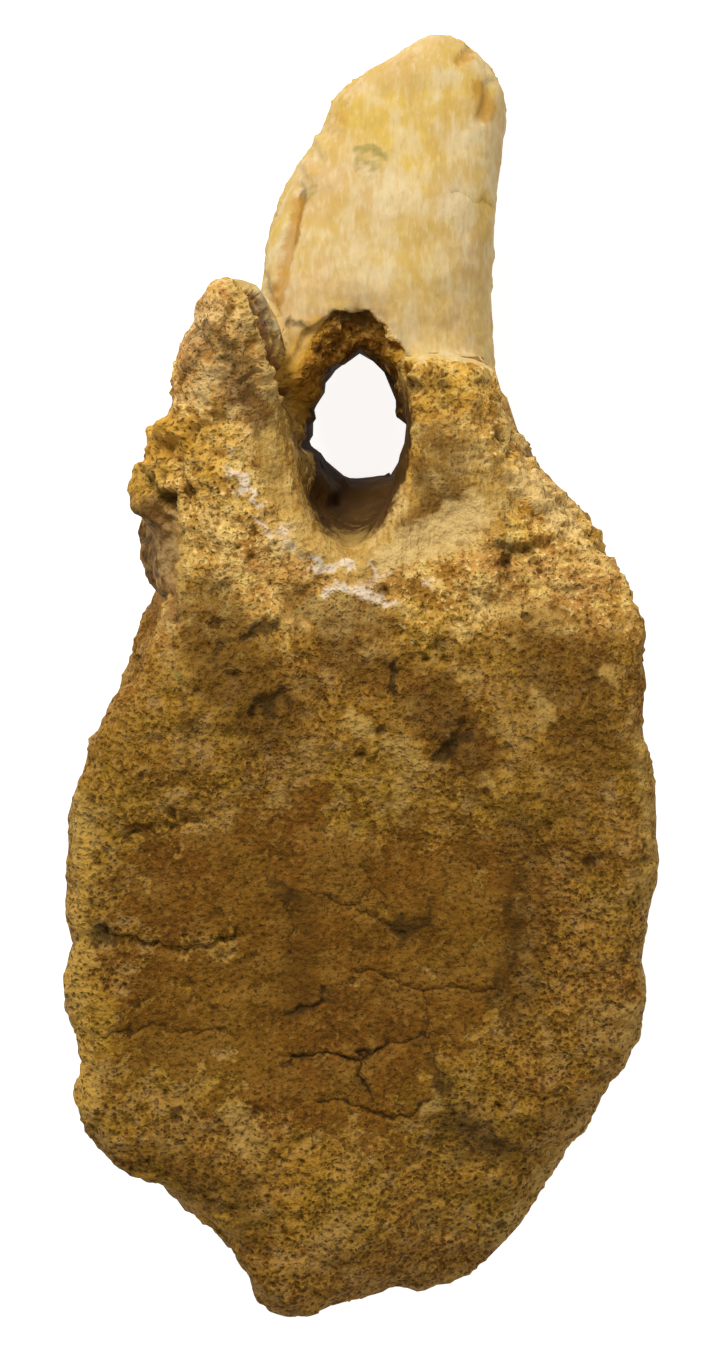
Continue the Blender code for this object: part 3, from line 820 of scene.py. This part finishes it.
def small_relief(kinds, p):
    """How far grains stand out and pits go in at each point, in mm."""
    coarse = (1.0 - solid_share(kinds)) * between(FACE_COARSE, UPPER_COARSE, kinds["upper_paler_and_lit"])
    coarse *= between(1.0, PROCESS_COARSE, kinds["process"])
    pitted = between(LEAST_PITTED, 1.0, kinds["porous"]) * (1.0 - soft(p["pores"], *PORE_SIDE))
    small = coarse * (HEIGHTS["grains"] * (p["grains"] - 0.5) - HEIGHTS["pores"] * pitted)
    deep = np.maximum(soft(p["broad"], *HOLLOWS_WHERE), kinds["rough"])
    deep *= 1.0 - kinds["process"]
    hollows = 1.0 - soft(p["big_pores"], *HOLLOW_SIDE)
    small -= coarse * deep * HEIGHTS["hollows"] * hollows
    openings = 1.0 - soft(p["big_pores"], *VESSEL_SIDE)
    small -= kinds["flank"] * HEIGHTS["vessel openings"] * openings
    grainy = HEIGHTS["grains of the plates"] * kinds["compact"]
    grainy += HEIGHTS["grains of the fan"] * kinds["fan"]
    return small + grainy * (p["grains"] - 0.5)


def broad_relief(kinds, p):
    """How far lumps, fibres and sheets stand out at each point, in mm."""
    lumpy = HEIGHTS["lumps"] + HEIGHTS["lumps higher up"] * kinds["upper_paler_and_lit"]
    lumpy += HEIGHTS["lumps at the side"] * kinds["rough"]
    lumpy *= between(SOLID_LUMPY, 1.0, 1.0 - solid_share(kinds))
    fibrous = HEIGHTS["fibres"] * (kinds["cortex"] + kinds["fan"])
    layered = HEIGHTS["sheets"] * kinds["shoulder"]
    return (lumpy * (p["lumps"] - 0.5) + fibrous * (p["fibres"] - 0.5)
            + layered * (p["sheets"] - 0.5))


def drawn_relief(place, front, kinds, p):
    """How far the steps, ridges, lumps and cuts of the tables above stand out, in mm."""
    ragged = strayed(place, p, between(*RELIEF_STRAY, kinds["cortex"])[:, None])
    out = np.zeros(len(place))
    for depth, fade, line in STEPS:
        gap, side = from_line(ragged, line, fade)
        fallen = soft(gap * side, 0.0, STEP_WIDTH) * (1.0 - soft(gap, 0.3 * fade, fade))
        out -= front * depth * fallen
    for height, width, line in RAISED:
        out += front * height * on_line(ragged, line, width, flat=0.1)
    for height, width, line in CANAL_LUMPS:
        out += kinds["in_canal"] * height * on_line(place, line, width, flat=0.3)
    for depth, width, line in CUTS:
        out -= front * depth * on_line(ragged, line, width, flat=0.2)
    return out


def crack_lines(place, front, p):
    """How far points are past the nearest crack's middle line, in mm, and how near and strong
    the crack is. The finish draws the line itself from the two."""
    ragged = strayed(place, p, CRACK_STRAY)
    past = np.full(len(place), CRACK_REACH)
    strength = np.zeros(len(place))
    for strong, line in CRACKS:
        gap, side = from_line(ragged, line, CRACK_REACH)
        nearer = gap < np.abs(past)
        past = np.where(nearer, gap * np.where(side < 0, -1.0, 1.0), past)
        here = strong * front * (1.0 - soft(gap, 0.5 * CRACK_REACH, CRACK_REACH))
        strength = np.where(nearer, here, strength)
    return past, strength


def stains_and_painted_light(place, front, kinds, p):
    """How much of each stain's colour is on each point, painted shade and highlights included."""
    ragged = strayed(place, p, between(*STAIN_AND_LIGHT_STRAY, kinds["cortex"])[:, None])
    amounts = {}
    for name, strength, width, line in STAINS_AND_PAINTED_LIGHT:
        amount = front * strength * on_line(ragged, line, width, flat=0.2, fade=1.6)
        amounts[name] = np.maximum(amounts.get(name, 0.0), amount)
    return amounts


def thin_out(piece, share):
    """Lowers the number of triangles, more where share is high, which is at most 1."""
    group = piece.vertex_groups.new(name="thinned")
    steps = np.rint(share * THINNING_STEPS).astype(int)
    for step in range(THINNING_STEPS + 1):
        group.add(np.flatnonzero(steps == step).tolist(), step / THINNING_STEPS, "REPLACE")
    fewer = piece.modifiers.new("fewer", "DECIMATE")
    fewer.ratio = TRIANGLES / (2.0 * len(piece.data.polygons))
    fewer.use_collapse_triangulate = True
    fewer.vertex_group = group.name
    keep_result(piece)
    piece.vertex_groups.clear()


def bone():
    """The whole bone, shaped and with its kinds of surface kept for its finish."""
    piece = bone_blank()
    patterns = measure_patterns(piece)
    points = vectors(piece.data.vertices, "co") / MM
    normals = vectors(piece.data.vertices, "normal")
    place, depth = seen(points)
    near = shown(place, depth)
    front = near * soft(normals @ EYE_BACK, *FACING)
    kinds = zones(points, normals, place, near, front, patterns)
    small = small_relief(kinds, patterns)
    past, strength = crack_lines(place, front, patterns)
    out = small + broad_relief(kinds, patterns) + drawn_relief(place, front, kinds, patterns)
    out -= CRACK_DEPTH * strength * (1.0 - soft(np.abs(past), *CRACK_SIDE))
    out *= soft(points[:, 2], *RESTING)
    kept = {"home": points * MM, "small": small, "crack_past": past,
            "crack_strength": strength, "porous": kinds["porous"],
            "solid": solid_share(kinds)}
    kept |= {name: kinds[name] for name in KINDS}
    kept |= {name: patterns[name] for name in KEPT_PATTERNS}
    kept |= stains_and_painted_light(place, front, kinds, patterns)
    for name, values in kept.items():
        save(piece.data, name, values)
    place_points(piece.data, (points + normals * out[:, None]) * MM)
    thin_out(piece, 1.0 - FRONT_SPARED * front)
    thinned = vectors(piece.data.vertices, "co")
    thinned[:, 2] = np.maximum(thinned[:, 2], 0.0)
    place_points(piece.data, thinned)
    piece.data.shade_smooth()
    return piece


def colour(hex_value):
    """An sRGB hex colour as the linear values that a shader takes."""
    parts = [int(hex_value[i:i + 2], 16) / 255 for i in (0, 2, 4)]
    linear = [c / 12.92 if c <= 0.04045 else ((c + 0.055) / 1.055) ** 2.4 for c in parts]
    return (*linear, 1.0)


def finish_fields(tree):
    """All that the finish is drawn from, by name: its patterns and what the mesh keeps."""
    home = add(tree, "ShaderNodeAttribute", output="Vector", attribute_name="home")
    fields = patterns_at(tree, home, FINISH_PATTERNS)
    off = add(tree, "ShaderNodeMath", {0: fields["crease"], 1: 0.5}, operation="SUBTRACT")
    fields["crease"] = add(tree, "ShaderNodeMath", {0: off}, operation="ABSOLUTE")
    for name in (*KINDS, *TINTS, *KEPT_PATTERNS, "small", "porous", "solid", "crack_past",
                 "crack_strength"):
        fields[name] = add(tree, "ShaderNodeAttribute", output="Fac", attribute_name=name)
    fields["spongy"] = add(tree, "ShaderNodeMath", {0: 1.0, 1: fields["solid"]},
                           operation="SUBTRACT")
    return fields


def painted(tree, shares, colours):
    """A kind of surface's ground colour with the colours of its layers over it."""
    skin = add(tree, "ShaderNodeRGB")
    skin.default_value = colour(colours["ground"])
    for name, share in shares.items():
        if name in colours:
            skin = add(tree, "ShaderNodeMix", {0: share, 6: skin, 7: colour(colours[name])}, 2,
                       data_type="RGBA")
    return skin


def all_kinds(tree, fields):
    """The colours of every kind of surface, each over the last and with a ragged edge."""
    shares = {}
    for name, (field, low, high, most) in LAYERS.items():
        links = {"Value": fields[field], "From Min": low, "From Max": high, "To Max": most}
        shares[name] = add(tree, "ShaderNodeMapRange", links, interpolation_type="SMOOTHSTEP")
    skin = painted(tree, shares, PAINT["spongy"])
    for name in KINDS:
        links = {0: fields["ragged"], 1: KIND_RAGGED, 2: fields[name]}
        nearly = add(tree, "ShaderNodeMath", links, operation="MULTIPLY_ADD")
        links = {"Value": nearly, "From Min": KIND_EDGE[0], "From Max": KIND_EDGE[1]}
        share = add(tree, "ShaderNodeMapRange", links, interpolation_type="SMOOTHSTEP")
        over = painted(tree, shares, PAINT[name])
        skin = add(tree, "ShaderNodeMix", {0: share, 6: skin, 7: over}, 2, data_type="RGBA")
    return skin


def stained_and_painted_light(tree, fields, skin):
    """The colours of the surface with the stains over them, painted shade and highlights
    included.
    """
    both = add(tree, "ShaderNodeMath", {0: fields["ragged"], 1: fields["speck"]},
               operation="ADD")
    for name, (tint, cover) in TINTS.items():
        links = {0: both, 1: STAIN_AND_LIGHT_RAGGED, 2: fields[name]}
        nearly = add(tree, "ShaderNodeMath", links, operation="MULTIPLY_ADD")
        links = {"Value": nearly, "From Min": STAIN_AND_LIGHT_EDGE[0], "From Max": STAIN_AND_LIGHT_EDGE[1],
                 "To Max": cover}
        share = add(tree, "ShaderNodeMapRange", links, interpolation_type="SMOOTHSTEP")
        skin = add(tree, "ShaderNodeMix", {0: share, 6: skin, 7: colour(tint)}, 2,
                   data_type="RGBA")
    return skin


def pore_share(tree, fields):
    """How dark the pores of open bone are."""
    open_bone = add(tree, "ShaderNodeMath", {0: fields["spongy"], 1: fields["porous"]},
                    operation="MULTIPLY")
    most = add(tree, "ShaderNodeMath", {0: open_bone, 1: PORE_COVER}, operation="MULTIPLY")
    links = {0: fields["fine_pore"], 1: FINE_PORES, 2: fields["pore"]}
    both = add(tree, "ShaderNodeMath", links, operation="MULTIPLY_ADD")
    links = {"Value": both, "From Min": PORE_EDGE[0], "From Max": PORE_EDGE[1],
             "To Max": most}
    return add(tree, "ShaderNodeMapRange", links, interpolation_type="SMOOTHSTEP")


def crack_share(tree, fields):
    """How dark the cracks are, which are wider where they are stronger."""
    astray = add(tree, "ShaderNodeMath", {0: fields["ragged"], 1: -0.5}, operation="ADD")
    links = {0: astray, 1: CRACK_WANDER, 2: fields["crack_past"]}
    past = add(tree, "ShaderNodeMath", links, operation="MULTIPLY_ADD")
    past = add(tree, "ShaderNodeMath", {0: past}, operation="ABSOLUTE")
    half_width = add(tree, "ShaderNodeMath", {0: fields["crack_strength"], 1: CRACK_WIDTH},
                     operation="MULTIPLY")
    links = {"Value": past, "From Min": half_width, "From Max": 0.0}
    line = add(tree, "ShaderNodeMapRange", links, interpolation_type="SMOOTHSTEP")
    return add(tree, "ShaderNodeMath", {0: line, 1: fields["crack_strength"]},
               operation="MULTIPLY")


def hollow_shade_share(tree, fields):
    """How much painted shade darkens the small hollows: the deeper they go, the darker."""
    links = {"Value": fields["small"], "From Min": HOLLOW_SHADE_EDGE[0], "From Max": HOLLOW_SHADE_EDGE[1],
             "To Max": HOLLOW_SHADE_COVER}
    return add(tree, "ShaderNodeMapRange", links, interpolation_type="SMOOTHSTEP")


def finest_relief(tree, fields):
    """The relief that is too fine for the mesh, in mm."""
    height = 0.0
    for name, low, high, on, most in BUMPS:
        links = {"Value": fields[name], "From Min": low, "From Max": high}
        rise = add(tree, "ShaderNodeMapRange", links, interpolation_type="SMOOTHSTEP")
        there = add(tree, "ShaderNodeMath", {0: fields[on], 1: most}, operation="MULTIPLY")
        height = add(tree, "ShaderNodeMath", {0: rise, 1: there, 2: height},
                     operation="MULTIPLY_ADD")
    return height


def mineralised_bone():
    """Mineralised bone, dug out and brushed clean: dry and matt, with light walls round dark
    pores where it is spongy, a dull brown skin on the face and pale fibres on the spine. Part of
    its colour is painted light: painted shade in the canal, in small hollows, on the process's
    inner wall and over the roof of the canal, and painted light on the upper part, the left edge,
    the rim's lip and ridges."""
    material = bpy.data.materials.new("mineralised_bone")
    material.use_nodes = True
    tree = material.node_tree
    shader = tree.nodes["Principled BSDF"]
    fields = finish_fields(tree)
    skin = stained_and_painted_light(tree, fields, all_kinds(tree, fields))
    # Pores and cracks are darkened, and the small hollows get painted shade
    for share, dark in ((pore_share(tree, fields), PORE_DARK),
                        (crack_share(tree, fields), CRACK_DARK),
                        (hollow_shade_share(tree, fields), HOLLOW_SHADE)):
        skin = add(tree, "ShaderNodeMix", {0: share, 6: skin, 7: colour(dark)}, 2,
                   data_type="RGBA")
    height = finest_relief(tree, fields)
    bumps = add(tree, "ShaderNodeBump", {"Height": height, "Distance": MM})
    tree.links.new(bumps, shader.inputs["Normal"])
    tree.links.new(skin, shader.inputs["Base Color"])
    shader.inputs["Roughness"].default_value = 0.82
    shader.inputs["Specular IOR Level"].default_value = 0.1
    return material


def floor():
    """A plain, pale floor with a faint glow of its own, as on a light table."""
    bm = bmesh.new()
    bmesh.ops.create_grid(bm, x_segments=1, y_segments=1, size=3.0)
    mesh = bpy.data.meshes.new("floor")
    bm.to_mesh(mesh)
    bm.free()
    plane = bpy.data.objects.new("floor", mesh)
    bpy.context.scene.collection.objects.link(plane)
    material = bpy.data.materials.new("matt_white_board")
    material.use_nodes = True
    shader = material.node_tree.nodes["Principled BSDF"]
    shader.inputs["Base Color"].default_value = colour("b4b4b2")
    shader.inputs["Roughness"].default_value = 0.9
    shader.inputs["Emission Color"].default_value = colour("ffffff")
    shader.inputs["Emission Strength"].default_value = 0.85
    mesh.materials.append(material)


def light(name, at, size, watts, aim=(0.0, 0.0, 0.04)):
    """A soft square light that looks at the bone."""
    data = bpy.data.lights.new(name, "AREA")
    data.size = size
    data.energy = watts
    lamp = bpy.data.objects.new(name, data)
    lamp.location = at
    lamp.rotation_euler = (Vector(aim) - Vector(at)).to_track_quat("-Z", "Y").to_euler()
    bpy.context.scene.collection.objects.link(lamp)


def studio():
    """The light of a studio: a soft main light from past the spine, a weak one from the other
    side and a pale room."""
    light("key_light", at=(-0.26, 0.90, 0.64), size=0.40, watts=12.0)
    light("fill_light", at=(0.45, -0.35, 0.8), size=0.9, watts=1.8)
    world = bpy.data.worlds.new("pale_room")
    world.use_nodes = True
    background = world.node_tree.nodes["Background"]
    background.inputs["Color"].default_value = colour("ffffff")
    background.inputs["Strength"].default_value = 0.34
    bpy.context.scene.world = world
    bpy.context.scene.view_settings.view_transform = "Standard"


def camera():
    """The photograph's eye, whose frame is as tall as the photograph."""
    data = bpy.data.cameras.new("camera")
    data.sensor_fit = "VERTICAL"
    data.sensor_height = SENSOR
    data.lens = FOCAL * SENSOR / PHOTO_TALL
    data.clip_start = 0.01
    eye = bpy.data.objects.new("camera", data)
    eye.location = (LOOK_AT + EYE_DISTANCE * EYE_BACK) * MM
    eye.rotation_euler = (-EYE_TILT, 0.0, 0.0)
    bpy.context.scene.collection.objects.link(eye)
    bpy.context.scene.camera = eye


camera()
studio()
floor()
vertebra = bone()
vertebra.data.materials.append(mineralised_bone())
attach(vertebra, "root")
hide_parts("vertebra")
